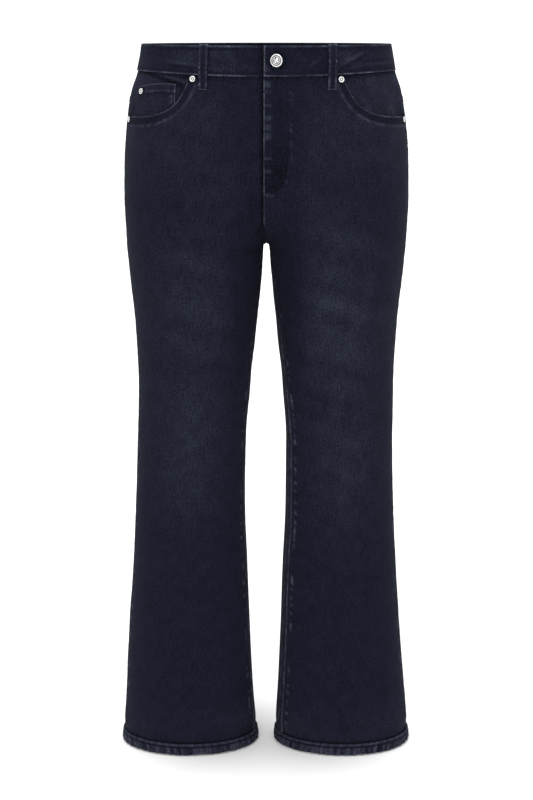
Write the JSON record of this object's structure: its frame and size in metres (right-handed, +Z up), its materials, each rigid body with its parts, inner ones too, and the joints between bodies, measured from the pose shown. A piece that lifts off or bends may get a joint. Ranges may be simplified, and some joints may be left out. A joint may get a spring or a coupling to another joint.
{
  "type": "bootcut jeans",
  "caption": "Dark indigo bootcut jeans, filled out as worn and hollow, with a lapped waistband, curved front pockets, a coin pocket, a back yoke, patch pockets and turned hems.",
  "frame": {"origin": "middle of the waist opening, level with the waistband's top edge at the sides", "axes": "+Z up the body, -Y to the front, +X to the wearer's left"},
  "size_m": [0.4282, 0.2153, 1.0148],
  "materials": {
    "denim": "matte twill",
    "steel": "satin"
  },
  "bodies": {
    "root": {"front_left": "denim", "front_right": "denim", "back_left": "denim", "back_right": "denim", "yoke_left": "denim", "yoke_right": "denim", "hip_facing_left": "denim", "hip_facing_right": "denim", "coin_pocket": "denim", "back_pocket_left": "denim", "back_pocket_right": "denim", "hem_left": "denim", "hem_right": "denim", "waistband": "denim", "belt_loop_front_right": "denim", "belt_loop_side_right": "denim", "belt_loop_back": "denim", "belt_loop_side_left": "denim", "belt_loop_front_left": "denim", "waist_button": "steel", "rivet_waist_right": "steel", "rivet_waist_left": "steel", "rivet_side_right": "steel", "rivet_side_left": "steel", "rivet_coin": "steel"}
  },
  "joints": []
}
